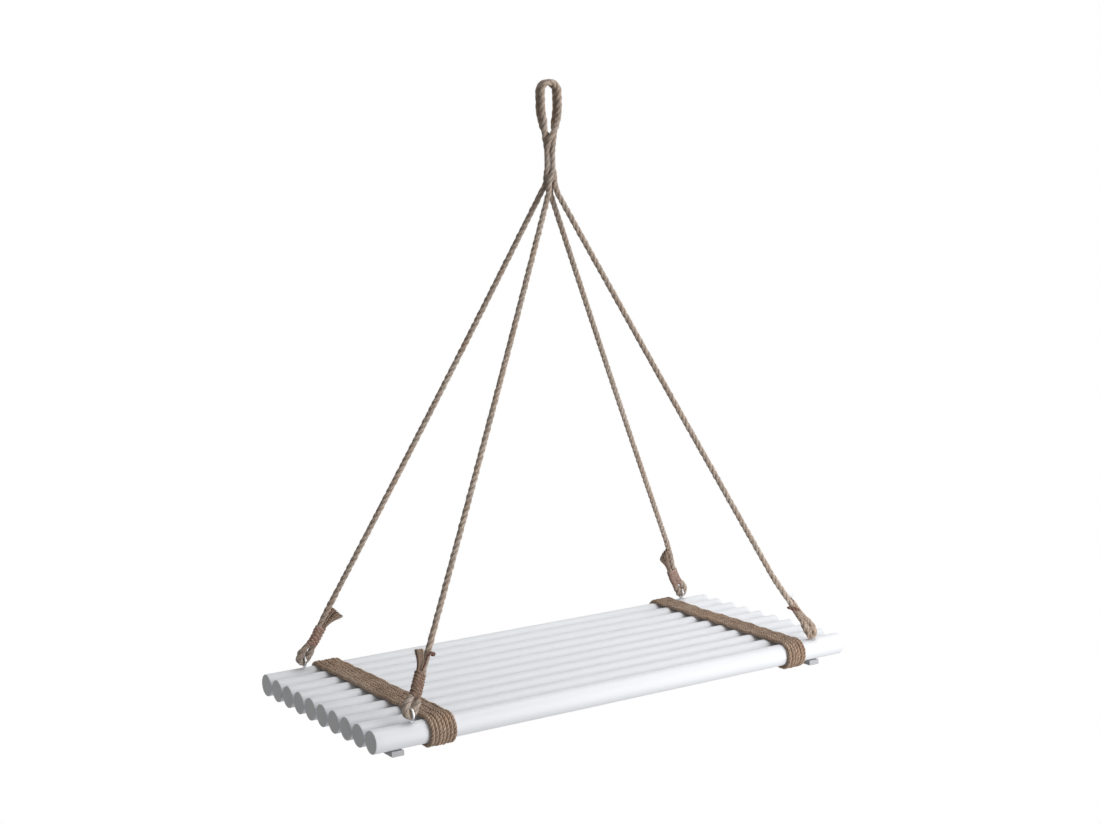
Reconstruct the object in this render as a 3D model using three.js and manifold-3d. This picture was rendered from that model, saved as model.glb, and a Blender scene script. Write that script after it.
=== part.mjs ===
// Hanging rope shelf: a deck of round white dowels, bound by two cord bands and hung from
// one rope loop by four rope legs.
// Millimetres, +Z up. The origin is the inside top of the loop, where it bears on a hook.
// +X runs along the dowels to the right, +Y to the back of the shelf.
import * as THREE from "three";
import { mergeVertices } from "three/addons/utils/BufferGeometryUtils.js";
import Module from "manifold-3d";

const wasm = await Module();
wasm.setup();

// Driving dimensions

// Fits
const SEAT_GAP = 0.3; // between two pieces that rest on each other
const OVERRUN = 15; // how far a cutting solid runs past what it cuts

// Dowels of the deck
const DOWEL_DIAMETER = 28;
const DOWEL_LENGTH = 710;
const DOWEL_COUNT = 10;
const DOWEL_SPACING = 4; // free gap between two dowels
const DOWEL_EDGE_ROUND = 1.2;
const DECK_DROP = 750; // from the origin to the dowels' centres

// Battens under the deck, and the screws that hold the dowels to them
const BATTEN_WIDTH = 16;
const BATTEN_THICKNESS = 6.5;
const BATTEN_CHAMFER = 0.7;
const BATTEN_END_REACH = 7; // past the outer dowels' centres
const LEFT_BATTEN_INSET = 31; // from a dowel's end to the batten's middle
const RIGHT_BATTEN_INSET = 47;
const SCREW_HEAD_DIAMETER = 7;
const SCREW_HEAD_RIM = 0.5;
const SCREW_HEAD_CONE = 1.9;
const SCREW_SHANK_DIAMETER = 3.4;
const SCREW_LENGTH = 18;
const SCREW_TIP = 4;
const SCREW_RECESS = 0.3; // of a head's face in the batten

// Ropes
const ROPE_DIAMETER = 8;
const ROPE_GAP = 0.8; // between two ropes side by side

// Loop over the hook
const HOOK_DIAMETER = 17.4; // the hook that the loop is sized for
const LOOP_WIDEST_DROP = 26; // the loop's sides stay parallel down to here
const LOOP_CLOSED_DROP = 72; // and lie together from here
const NECK_TWIST_TOP = 42;
const NECK_TWIST_TURN = 180; // degrees that the four strands twist round each other

// Pivots in the loop
const ROCK_MARGIN = 1.2; // rope kept outside the ropes' width at a pivot
const SWING_RISE = 37; // of the lengthwise pivot over the seizing
const TURN_CUT_RISE = 11; // of the turning cut over the seizing

// Seizing round the neck, and the whippings on the rope ends
const YARN_DIAMETER = 1.9;
const YARN_PITCH = 2.4;
const SEIZING_TOP_DROP = 111;
const SEIZING_TURNS = 4;
const WHIPPING_TURNS = 6;
const WHIPPING_HEIGHT = 25; // along the leg, from the eye's wire to the first turn

// Rope legs below the seizing
const LEG_BEND_RADIUS = 30;
const LEG_BEND_DROP = 3; // from the seizing to where the legs spread
const FRONT_LEFT_TAIL = 76; // rope end that is turned back up, from the eye's wire
const BACK_LEFT_TAIL = 70;
const FRONT_RIGHT_TAIL = 52;
const BACK_RIGHT_TAIL = 66;
const TAIL_FLARE = 4; // how far the tail's tip leans away from its leg
const CLOSE_UP_LENGTH = 16; // length in which the two ropes above the eye come together

// Screw eyes in the outer dowels
const LEFT_EYE_INSET = 53; // from a dowel's end
const RIGHT_EYE_INSET = 46;
const EYE_WIRE_DIAMETER = 2.6;
const EYE_ROPE_PLAY = 1.7; // between the rope and the ring's inside, on the radius
const EYE_STAND = 1; // between the ring and the dowel
const EYE_THREAD_LENGTH = 12;
const EYE_TIP = 3;

// Cord bands round the deck
const BAND_CORD_DIAMETER = 4.4;
const BAND_PITCH = 4.9;
const LEFT_BAND_INSET = 87; // from a dowel's end to the band's middle
const RIGHT_BAND_INSET = 82;
const BAND_SEAT_GAP = 0.4;
const LEFT_BAND_TURNS = 7;
const RIGHT_BAND_TURNS = 6;
const RIGHT_BAND_SLANT = 1.4; // degrees, its back end lies nearer the dowels' ends

// Counts of facets
const DOWEL_SIDES = 24;
const EDGE_STEPS = 2;
const ROPE_SIDES = 10;
const COIL_SIDES = 6;
const SCREW_SIDES = 8;
const RING_STEPS = 16;
const WIRE_SIDES = 6;
const PIVOT_SIDES = 72;
const BAND_ARC_STEPS = 8;
const BAND_RUN_STEPS = 2;
const WHIPPING_ARC_STEPS = 4;
const SEIZING_ARC_STEPS = 3;
const BIGHT_STEPS = 12;
const LOOP_STEPS = 12;
const NECK_STEPS = 6;
const TURN_STEPS = 6;
const BEND_STEPS = 3;
const CLOSE_UP_STEPS = 2;

// Sizes that follow from these
const ropeRadius = ROPE_DIAMETER / 2;
const yarnRadius = YARN_DIAMETER / 2;
const dowelRadius = DOWEL_DIAMETER / 2;
const dowelPitch = DOWEL_DIAMETER + DOWEL_SPACING;
const outerDowelY = ((DOWEL_COUNT - 1) * dowelPitch) / 2;
const halfLength = DOWEL_LENGTH / 2;
const strandPlace = (ROPE_DIAMETER + ROPE_GAP) / 2; // of a strand's centre from the neck's axis
const bightRadius = HOOK_DIAMETER / 2 + ropeRadius;
const rockDrop = HOOK_DIAMETER / 2; // the loop rocks about the hook's own centre line
const swingDrop = SEIZING_TOP_DROP - SWING_RISE;
const turnDrop = SEIZING_TOP_DROP - TURN_CUT_RISE;
const seizingBottomDrop = SEIZING_TOP_DROP + SEIZING_TURNS * YARN_PITCH + YARN_DIAMETER;
const ringRadius = ropeRadius + EYE_ROPE_PLAY + EYE_WIRE_DIAMETER / 2;
const ringRise = EYE_STAND + EYE_WIRE_DIAMETER / 2 + ringRadius; // of its centre over the dowel
const battenTop = -DECK_DROP - dowelRadius - SEAT_GAP;
const ends = [
  { name: "left", side: -1, batten: LEFT_BATTEN_INSET, eye: LEFT_EYE_INSET },
  { name: "right", side: 1, batten: RIGHT_BATTEN_INSET, eye: RIGHT_EYE_INSET },
];

const corners = [
  { name: "front_left", side: -1, depth: -1, tail: -1, length: FRONT_LEFT_TAIL },
  { name: "back_left", side: -1, depth: 1, tail: 1, length: BACK_LEFT_TAIL },
  { name: "front_right", side: 1, depth: -1, tail: 1, length: FRONT_RIGHT_TAIL },
  { name: "back_right", side: 1, depth: 1, tail: -1, length: BACK_RIGHT_TAIL },
];

const finish = {
  paint: { color: 0xf1f2f5, roughness: 0.42, metalness: 0 },
  rope: { color: 0xa08a6c, roughness: 0.92, metalness: 0 },
  cord: { color: 0x8a6844, roughness: 0.93, metalness: 0 },
  yarn: { color: 0x8c5a3c, roughness: 0.94, metalness: 0 },
  zinc: { color: 0xc9ccd0, roughness: 0.3, metalness: 1 },
};

const shelf = new THREE.Group();

function addPiece(name, geometry, kind) {
  const piece = new THREE.Mesh(geometry, new THREE.MeshStandardMaterial(finish[kind]));
  piece.name = name;
  shelf.add(piece);
}

// Solids: closed geometries that can be joined and cut

function solidOf(geometry) {
  const bare = geometry.index ? geometry.toNonIndexed() : geometry.clone();
  bare.deleteAttribute("normal");
  bare.deleteAttribute("uv");
  const merged = mergeVertices(bare);
  return new wasm.Manifold(
    new wasm.Mesh({
      numProp: 3,
      vertProperties: merged.attributes.position.array,
      triVerts: new Uint32Array(merged.index.array),
    }),
  );
}

function geometryOf(solid) {
  const mesh = solid.getMesh();
  const geometry = new THREE.BufferGeometry();
  geometry.setAttribute("position", new THREE.BufferAttribute(mesh.vertProperties, mesh.numProp));
  geometry.setIndex(new THREE.BufferAttribute(mesh.triVerts, 1));
  return geometry;
}

function point(x, y, z) {
  return new THREE.Vector3(x, y, z);
}

// A route through given stations. A tube along it has one ring at each station, square to the
// mean of the directions that meet there.
class Route extends THREE.Curve {
  constructor(stations) {
    super();
    this.stations = stations;
  }
  getPointAt(share, target = new THREE.Vector3()) {
    return target.copy(this.stations[Math.round(share * (this.stations.length - 1))]);
  }
  getTangentAt(share, target = new THREE.Vector3()) {
    const last = this.stations.length - 1;
    const here = Math.round(share * last);
    const before = here > 0 ? here - 1 : 0;
    const after = here < last ? here : last - 1;
    const way = (from) => this.stations[from + 1].clone().sub(this.stations[from]).normalize();
    return target.addVectors(way(before), way(after)).normalize();
  }
}

function tube(stations, radius, sides) {
  const section = new THREE.Shape(
    Array.from({ length: sides }, (_, i) => {
      const angle = (2 * Math.PI * i) / sides;
      return new THREE.Vector2(radius * Math.cos(angle), radius * Math.sin(angle));
    }),
  );
  const settings = { steps: stations.length - 1, bevelEnabled: false, extrudePath: new Route(stations) };
  return new THREE.ExtrudeGeometry(section, settings);
}

// The least free gap of a wound tube to itself, measured between the middles of its turns.
function leastGap(stations, diameter, stepsPerTurn) {
  let least = Infinity;
  for (let i = 0; i + stepsPerTurn / 2 < stations.length; i += 1) {
    for (let j = i + Math.ceil(stepsPerTurn / 2); j < stations.length - 1; j += 1) {
      const run = new THREE.Line3(stations[j], stations[j + 1]);
      const near = run.closestPointToPoint(stations[i], true, new THREE.Vector3());
      least = Math.min(least, near.distanceTo(stations[i]) - diameter);
    }
  }
  return least;
}

function addWinding(name, stations, diameter, stepsPerTurn, kind) {
  addPiece(name, tube(stations, diameter / 2, COIL_SIDES), kind);
  const gap = leastGap(stations, diameter, stepsPerTurn);
  console.log(`${name}: least gap to itself ${gap.toFixed(2)} mm`);
}

// Screws and screw eyes: turned forms about their own axis, pointing along +Z

function turned(profile, sides) {
  return new THREE.LatheGeometry(
    profile.map(([radius, height]) => new THREE.Vector2(radius, height)),
    sides,
  ).rotateX(Math.PI / 2);
}

// A countersunk screw, its head's face at height 0. grow makes the hole that it sits in.
function screwForm(grow, below) {
  const head = SCREW_HEAD_DIAMETER / 2 + grow;
  const shank = SCREW_SHANK_DIAMETER / 2 + grow;
  const neck = SCREW_HEAD_RIM + SCREW_HEAD_CONE;
  return turned(
    [
      [0, -below],
      [head, -below],
      [head, SCREW_HEAD_RIM],
      [shank, neck],
      [shank, SCREW_LENGTH - SCREW_TIP + grow],
      [0, SCREW_LENGTH + grow],
    ],
    SCREW_SIDES,
  );
}

// The shank of a screw eye, from height 0 up to its point. below is how far it runs under 0.
function eyeShankForm(grow, below) {
  const radius = EYE_WIRE_DIAMETER / 2 + grow;
  return turned(
    [
      [0, -below],
      [radius, -below],
      [radius, EYE_THREAD_LENGTH - EYE_TIP + grow],
      [0, EYE_THREAD_LENGTH + grow],
    ],
    WIRE_SIDES,
  );
}

// Deck: the dowels, the two battens under them and the screws

function numbered(index) {
  return "_" + String(index + 1).padStart(2, "0");
}

function dowelY(index) {
  return index * dowelPitch - outerDowelY;
}

function dowelBlank(y) {
  const profile = [new THREE.Vector2(0, -halfLength)];
  for (const end of [-1, 1]) {
    for (let i = 0; i <= EDGE_STEPS; i += 1) {
      const angle = ((end < 0 ? i : EDGE_STEPS - i) / EDGE_STEPS) * (Math.PI / 2);
      profile.push(
        new THREE.Vector2(
          dowelRadius - DOWEL_EDGE_ROUND * (1 - Math.sin(angle)),
          end * (halfLength - DOWEL_EDGE_ROUND * (1 - Math.cos(angle))),
        ),
      );
    }
  }
  profile.push(new THREE.Vector2(0, halfLength));
  return new THREE.LatheGeometry(profile, DOWEL_SIDES).rotateZ(-Math.PI / 2).translate(0, y, -DECK_DROP);
}

const battenBottom = battenTop - BATTEN_THICKNESS;
const screwHeadZ = battenBottom + SCREW_RECESS;
for (let i = 0; i < DOWEL_COUNT; i += 1) {
  const y = dowelY(i);
  const outer = i === 0 || i === DOWEL_COUNT - 1;
  let dowel = solidOf(dowelBlank(y));
  for (const { side, batten, eye } of ends) {
    const pilot = screwForm(SEAT_GAP, OVERRUN).translate(side * (halfLength - batten), y, screwHeadZ);
    dowel = dowel.subtract(solidOf(pilot));
    if (outer) {
      const hole = eyeShankForm(SEAT_GAP, OVERRUN).rotateX(Math.PI);
      hole.translate(side * (halfLength - eye), y, -DECK_DROP + dowelRadius);
      dowel = dowel.subtract(solidOf(hole));
    }
  }
  addPiece("dowel" + numbered(i), geometryOf(dowel), "paint");
}

function battenBlank(x) {
  const across = BATTEN_WIDTH / 2;
  const up = BATTEN_THICKNESS / 2;
  const cut = BATTEN_CHAMFER;
  const section = new THREE.Shape(
    [
      [-across + cut, -up],
      [across - cut, -up],
      [across, cut - up],
      [across, up - cut],
      [across - cut, up],
      [-across + cut, up],
      [-across, up - cut],
      [-across, cut - up],
    ].map(([a, b]) => new THREE.Vector2(a, b)),
  );
  const length = 2 * (outerDowelY + BATTEN_END_REACH);
  return new THREE.ExtrudeGeometry(section, { depth: length, bevelEnabled: false })
    .translate(0, 0, -length / 2)
    .rotateX(Math.PI / 2)
    .translate(x, 0, battenTop - up);
}

for (const { name, side, batten: inset } of ends) {
  const x = side * (halfLength - inset);
  let batten = solidOf(battenBlank(x));
  for (let i = 0; i < DOWEL_COUNT; i += 1) {
    const place = [x, dowelY(i), screwHeadZ];
    batten = batten.subtract(solidOf(screwForm(SEAT_GAP, OVERRUN).translate(...place)));
    addPiece("screw_" + name + numbered(i), screwForm(0, 0).translate(...place), "zinc");
  }
  addPiece("batten_" + name, geometryOf(batten), "paint");
}

// Cord bands: each winds round the whole deck, flat over and under it and round the two outer
// dowels. A turn goes over to the next one on the under side, and both ends lie there. The arcs'
// stations lie just outside the true arc, so that the flats between them still clear the dowel.

function bandStations(middleX, turns, slant) {
  const radius = dowelRadius + BAND_SEAT_GAP + BAND_CORD_DIAMETER / 2;
  const arcRadius = radius / Math.cos(Math.PI / (2 * BAND_ARC_STEPS));
  const loop = [];
  for (let i = 0; i < BAND_RUN_STEPS; i += 1) {
    loop.push([outerDowelY * ((2 * i) / BAND_RUN_STEPS - 1), -radius]);
  }
  for (let i = 0; i < BAND_ARC_STEPS; i += 1) {
    const angle = ((i + 0.5) / BAND_ARC_STEPS - 0.5) * Math.PI;
    loop.push([outerDowelY + arcRadius * Math.cos(angle), arcRadius * Math.sin(angle)]);
  }
  const half = loop.length;
  for (let i = 0; i < half; i += 1) {
    loop.push([-loop[i][0], -loop[i][1]]);
  }
  const start = BAND_RUN_STEPS / 2; // in the middle of the under side
  return Array.from({ length: turns * loop.length + 1 }, (_, i) => {
    const place = i + start;
    const step = place % loop.length;
    const moved = Math.floor(place / loop.length) + Math.min(step / (BAND_RUN_STEPS + 0.5), 1);
    const [y, z] = loop[step];
    return point(BAND_PITCH * (moved - (turns + 1) / 2), y, z - DECK_DROP)
      .applyAxisAngle(point(0, 0, -1), THREE.MathUtils.degToRad(slant))
      .add(point(middleX, 0, 0));
  });
}

for (const [name, x, turns, slant] of [
  ["left", LEFT_BAND_INSET - halfLength, LEFT_BAND_TURNS, 0],
  ["right", halfLength - RIGHT_BAND_INSET, RIGHT_BAND_TURNS, RIGHT_BAND_SLANT],
]) {
  const stations = bandStations(x, turns, slant);
  addWinding("band_" + name, stations, BAND_CORD_DIAMETER, 2 * (BAND_ARC_STEPS + BAND_RUN_STEPS), "cord");
}

// Loop and neck: two ropes lie side by side over the hook, and their four strands come
// together and twist round each other on the way down

// The place of the strand that ends at a corner of the neck, at a height z.
function strandStation(corner, z) {
  const closing = THREE.MathUtils.clamp(
    (-z - LOOP_WIDEST_DROP) / (LOOP_CLOSED_DROP - LOOP_WIDEST_DROP),
    0,
    1,
  );
  const spread = strandPlace + ((bightRadius - strandPlace) * (1 + Math.cos(Math.PI * closing))) / 2;
  const twist = THREE.MathUtils.smoothstep(-z, NECK_TWIST_TOP, SEIZING_TOP_DROP) * NECK_TWIST_TURN;
  const place = point(-corner.side * spread, -corner.depth * strandPlace, z);
  return place.applyAxisAngle(point(0, 0, 1), -THREE.MathUtils.degToRad(twist));
}

function strandStations(corner, top, bottom, steps) {
  return Array.from({ length: steps + 1 }, (_, i) =>
    strandStation(corner, THREE.MathUtils.lerp(top, bottom, i / steps)),
  );
}

// All that lies below a pivot: the half space under its axis without a round bar about the axis.
function belowPivot(drop, radius, alongX) {
  const size = 4 * radius + 4 * OVERRUN;
  const half = solidOf(new THREE.BoxGeometry(size, size, size).translate(0, 0, -drop - size / 2));
  const bar = new THREE.CylinderGeometry(radius, radius, 2 * size, PIVOT_SIDES);
  if (alongX) {
    bar.rotateZ(Math.PI / 2);
  }
  return half.subtract(solidOf(bar.translate(0, 0, -drop)));
}

function slab(top, bottom) {
  const size = 4 * bightRadius;
  return solidOf(new THREE.BoxGeometry(size, size, top - bottom).translate(0, 0, (top + bottom) / 2));
}

const rockRadius = strandPlace + ropeRadius + ROCK_MARGIN;
const swingRadius =
  Math.abs(strandStation(corners[0], -swingDrop).length() ** 2 - swingDrop ** 2) ** 0.5 +
  ropeRadius +
  ROCK_MARGIN;
const neckTop = -swingDrop - swingRadius;

function bightStations(y) {
  const low = -rockDrop - rockRadius - SEAT_GAP;
  const arc = Array.from({ length: BIGHT_STEPS + 1 }, (_, i) => {
    const angle = Math.PI * (1 - i / BIGHT_STEPS);
    return point(bightRadius * Math.cos(angle), y, bightRadius * Math.sin(angle) - rockDrop);
  });
  return [point(-bightRadius, y, low), ...arc, point(bightRadius, y, low)];
}

for (const [name, depth] of [["front", -1], ["back", 1]]) {
  const bight = solidOf(tube(bightStations(depth * strandPlace), ropeRadius, ROPE_SIDES));
  const held = bight.subtract(belowPivot(rockDrop, rockRadius, true));
  addPiece("rope_bight_" + name, geometryOf(held), "rope");
}

for (const corner of corners) {
  const loop = tube(
    strandStations(corner, -rockDrop, neckTop - 2 * SEAT_GAP, LOOP_STEPS),
    ropeRadius,
    ROPE_SIDES,
  );
  addPiece(
    "loop_strand_" + corner.name,
    geometryOf(
      solidOf(loop)
        .intersect(belowPivot(rockDrop, rockRadius + SEAT_GAP, true))
        .subtract(belowPivot(swingDrop, swingRadius, false)),
    ),
    "rope",
  );
  const neck = tube(
    strandStations(corner, -swingDrop, -turnDrop - ropeRadius, NECK_STEPS),
    ropeRadius,
    ROPE_SIDES,
  );
  addPiece(
    "neck_strand_" + corner.name,
    geometryOf(
      solidOf(neck)
        .intersect(belowPivot(swingDrop, swingRadius + SEAT_GAP, false))
        .intersect(slab(0, -turnDrop)),
    ),
    "rope",
  );
}

// Rope legs: each runs from the neck to its screw eye, through the ring and back up on itself

// The frame of a leg at its eye: up along the leg, across towards the side of the tail, and
// the middle of the wire that the rope hangs on.
function legFrame(corner) {
  const eye = point(
    corner.side * (halfLength - (corner.side < 0 ? LEFT_EYE_INSET : RIGHT_EYE_INSET)),
    corner.depth * outerDowelY,
    dowelRadius + ringRise - DECK_DROP,
  );
  const spread = point(
    corner.side * strandPlace,
    corner.depth * strandPlace,
    -seizingBottomDrop - LEG_BEND_DROP,
  );
  const pull = spread.clone().sub(eye).setX(0).normalize();
  const wire = eye.clone().addScaledVector(pull, ringRadius);
  const up = spread.clone().sub(wire).normalize();
  const across = point(corner.tail, 0, 0).addScaledVector(up, -corner.tail * up.x).normalize();
  return { eye, spread, wire, up, across };
}

// Half the distance between the standing part and the tail, at a height above the wire.
function pairOffset(height) {
  const wide = EYE_WIRE_DIAMETER / 2 + SEAT_GAP + ropeRadius;
  return THREE.MathUtils.lerp(wide, strandPlace, THREE.MathUtils.smoothstep(height, 0, CLOSE_UP_LENGTH));
}

function legStations(corner) {
  const { spread, wire, up, across } = legFrame(corner);
  const at = (height, offset) =>
    wire.clone().addScaledVector(up, height).addScaledVector(across, offset);
  const whippingTop = WHIPPING_HEIGHT + WHIPPING_TURNS * YARN_PITCH + YARN_DIAMETER;

  const neck = strandStations(corner, ropeRadius - turnDrop, -SEIZING_TOP_DROP, NECK_STEPS / 2);

  // the bend where the leg leaves the neck, an arc between the vertical and the leg
  const standTop = at(whippingTop, -pairOffset(whippingTop));
  const down = point(0, 0, -1);
  const away = standTop.clone().sub(spread).normalize();
  const halfAngle = down.angleTo(away) / 2;
  const reach = LEG_BEND_RADIUS * Math.tan(halfAngle);
  const inward = away.clone().sub(down).normalize();
  const centre = spread.clone().addScaledVector(inward, LEG_BEND_RADIUS / Math.cos(halfAngle));
  const start = spread.clone().addScaledVector(down, -reach).sub(centre);
  const hinge = down.clone().cross(away).normalize();
  const bend = Array.from({ length: BEND_STEPS + 1 }, (_, i) =>
    start.clone().applyAxisAngle(hinge, (2 * halfAngle * i) / BEND_STEPS).add(centre),
  );

  const closing = Array.from(
    { length: CLOSE_UP_STEPS + 1 },
    (_, i) => CLOSE_UP_LENGTH * (1 - i / CLOSE_UP_STEPS),
  );
  const heights = [whippingTop, ...closing];
  const stand = heights.map((height) => at(height, -pairOffset(height)));
  const turn = Array.from({ length: TURN_STEPS - 1 }, (_, i) => {
    const angle = (Math.PI * (i + 1)) / TURN_STEPS;
    return at(-pairOffset(0) * Math.sin(angle), -pairOffset(0) * Math.cos(angle));
  });
  const tail = heights.toReversed().map((height) => at(height, pairOffset(height)));
  const tip = [0.5, 1].map((share) =>
    at(
      THREE.MathUtils.lerp(whippingTop, corner.length, share),
      strandPlace + TAIL_FLARE * share ** 2,
    ),
  );
  return [...neck, ...bend, ...stand, ...turn, ...tail, ...tip];
}

for (const corner of corners) {
  const leg = solidOf(tube(legStations(corner), ropeRadius, ROPE_SIDES));
  const above = slab(ROPE_DIAMETER - turnDrop, -turnDrop - SEAT_GAP);
  addPiece("rope_leg_" + corner.name, geometryOf(leg.subtract(above)), "rope");
}

// Screw eyes: a ring of wire on a pointed shank, the ring turned so that the rope passes
// through it along the dowels

for (const corner of corners) {
  const { eye } = legFrame(corner);
  const ring = new THREE.TorusGeometry(ringRadius, EYE_WIRE_DIAMETER / 2, WIRE_SIDES, RING_STEPS);
  const shank = eyeShankForm(0, EYE_STAND + EYE_WIRE_DIAMETER / 2).rotateX(Math.PI);
  shank.translate(eye.x, eye.y, eye.z - ringRise);
  const piece = solidOf(ring.rotateY(Math.PI / 2).translate(eye.x, eye.y, eye.z)).add(solidOf(shank));
  addPiece("screw_eye_" + corner.name, geometryOf(piece), "zinc");
}

// Whippings: yarn wound round the leg and its tail, a flat-sided ring in section

for (const corner of corners) {
  const { wire, up, across } = legFrame(corner);
  const through = up.clone().cross(across);
  const radius = (ropeRadius + SEAT_GAP + yarnRadius) / Math.cos(Math.PI / (2 * WHIPPING_ARC_STEPS));
  const section = [[0, -radius]];
  for (const end of [1, -1]) {
    for (let i = 0; i <= WHIPPING_ARC_STEPS; i += 1) {
      const angle = (i / WHIPPING_ARC_STEPS - 0.5) * Math.PI;
      section.push([end * (strandPlace + radius * Math.cos(angle)), end * radius * Math.sin(angle)]);
    }
  }
  const count = WHIPPING_TURNS * section.length;
  const stations = Array.from({ length: count + 1 }, (_, i) => {
    const [a, b] = section[i % section.length];
    const height = WHIPPING_HEIGHT + yarnRadius + (YARN_PITCH * i) / section.length;
    return wire.clone().addScaledVector(up, height).addScaledVector(across, a).addScaledVector(through, b);
  });
  addWinding("whipping_" + corner.name, stations, YARN_DIAMETER, section.length, "yarn");
}

// Neck seizing: yarn wound round all four strands, a rounded square in section

{
  const radius = (ropeRadius + SEAT_GAP + yarnRadius) / Math.cos(Math.PI / (4 * SEIZING_ARC_STEPS));
  const section = [];
  for (let quarter = 0; quarter < 4; quarter += 1) {
    for (let i = 0; i <= SEIZING_ARC_STEPS; i += 1) {
      const angle = ((quarter + i / SEIZING_ARC_STEPS) * Math.PI) / 2;
      const middle = ((quarter + 0.5) * Math.PI) / 2;
      section.push([
        Math.SQRT2 * strandPlace * Math.cos(middle) + radius * Math.cos(angle),
        Math.SQRT2 * strandPlace * Math.sin(middle) + radius * Math.sin(angle),
      ]);
    }
  }
  const count = SEIZING_TURNS * section.length;
  const stations = Array.from({ length: count + 1 }, (_, i) => {
    const [x, y] = section[i % section.length];
    return point(x, y, -SEIZING_TOP_DROP - yarnRadius - (YARN_PITCH * i) / section.length);
  });
  addWinding("neck_seizing", stations, YARN_DIAMETER, section.length, "yarn");
}

export default shelf;
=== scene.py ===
import math

import bpy
import numpy as np
from mathutils import Matrix, Vector


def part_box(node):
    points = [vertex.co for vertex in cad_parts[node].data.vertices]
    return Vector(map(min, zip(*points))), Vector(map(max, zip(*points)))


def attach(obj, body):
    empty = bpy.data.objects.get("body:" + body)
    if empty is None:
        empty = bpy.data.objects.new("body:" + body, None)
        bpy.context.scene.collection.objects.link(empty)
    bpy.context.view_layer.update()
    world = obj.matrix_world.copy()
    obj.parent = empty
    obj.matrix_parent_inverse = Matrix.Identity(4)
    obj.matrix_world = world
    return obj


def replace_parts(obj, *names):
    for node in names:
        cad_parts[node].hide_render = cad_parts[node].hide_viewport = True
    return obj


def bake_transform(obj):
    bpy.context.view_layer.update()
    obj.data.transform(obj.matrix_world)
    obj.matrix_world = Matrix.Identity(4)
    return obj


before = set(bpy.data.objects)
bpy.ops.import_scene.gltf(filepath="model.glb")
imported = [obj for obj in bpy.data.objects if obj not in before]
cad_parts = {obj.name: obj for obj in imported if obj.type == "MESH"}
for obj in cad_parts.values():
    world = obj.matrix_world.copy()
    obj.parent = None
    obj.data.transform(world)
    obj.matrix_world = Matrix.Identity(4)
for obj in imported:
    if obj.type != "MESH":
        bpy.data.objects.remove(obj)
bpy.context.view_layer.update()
scene = bpy.context.scene
scene.view_settings.view_transform = "Standard"
MM = 0.001

# Camera. It looks down a little on the deck from the front left, so that the left ends of the
# dowels show. Its place and turn were solved from the photograph, and it needs no shift.
CAMERA_PLACE = np.array([-1216.2, -1855.4, -131.1]) * MM
CAMERA_YAW, CAMERA_DIP, CAMERA_TILT = (math.radians(a) for a in (-33.07, 7.31, -1.24))
LENS_TO_FILM_WIDTH = 1730 / 1100

level = np.array([-math.sin(CAMERA_YAW), math.cos(CAMERA_YAW), 0])
right = np.array([math.cos(CAMERA_YAW), math.sin(CAMERA_YAW), 0])
ahead = level * math.cos(CAMERA_DIP) - np.array([0, 0, math.sin(CAMERA_DIP)])
above = np.cross(right, level) * math.cos(CAMERA_DIP) + level * math.sin(CAMERA_DIP)
rolled_right = right * math.cos(CAMERA_TILT) + above * math.sin(CAMERA_TILT)
rolled_above = above * math.cos(CAMERA_TILT) - right * math.sin(CAMERA_TILT)
camera = bpy.data.objects.new("camera", bpy.data.cameras.new("camera"))
scene.collection.objects.link(camera)
camera.data.lens = camera.data.sensor_width * LENS_TO_FILM_WIDTH
camera.data.clip_start, camera.data.clip_end = 0.05, 200
turned = Matrix(np.stack([rolled_right, rolled_above, -ahead], 1).tolist())
camera.matrix_world = Matrix.LocRotScale(Vector(CAMERA_PLACE), turned, None)
scene.camera = camera


# Ropes. Two jute ropes of three strands lie side by side over the hanging point. The strands of
# rope close below it, turn half round each other in the neck and the knuckle and spread as four
# legs, and each leg passes through its screw eye and doubles back. Each rope is drawn as one
# unbroken run and then cut into pieces that follow the bodies.
ROPE_RADIUS = 4 * MM
ROPE_LAY = 27.5 * MM  # length in which a strand goes once round the rope
STRAND_OFFSET = 1.25 * MM  # of a strand's middle from the rope's
STRAND_RADIUS = 2.75 * MM
ROPE_UNEVEN = 0.07
ROPE_SIDES = 30
SQUEEZE = 0.13  # share of its size that a rope loses where it is squeezed
SIDE_BY_SIDE = 4.15 * MM  # of a rope's middle from the neck's axis, along x and y
SQUEEZED = 3.5 * MM  # the same where the neck is tightest
LOOP_RADIUS = 12.7 * MM
LOOP_MIDDLE = -8.7 * MM
WIDEST, CLOSED = -26 * MM, -72 * MM
NECK_TURN, NECK_TOP, NECK_END = math.radians(123), -42 * MM, -86 * MM
KNUCKLE_TURN, KNUCKLE_TOP, KNUCKLE_END = math.radians(57), -103 * MM, -122 * MM
LEGS_SPREAD = -135 * MM
EYE_TOP_WIRE = 7 * MM  # from the middle of an eye's ring up to the middle of its top wire
EYE_TOP = 8.3 * MM  # from the middle of an eye's ring to its very top
RING = 1 * MM  # spacing of the rings of points along a rope

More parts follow.
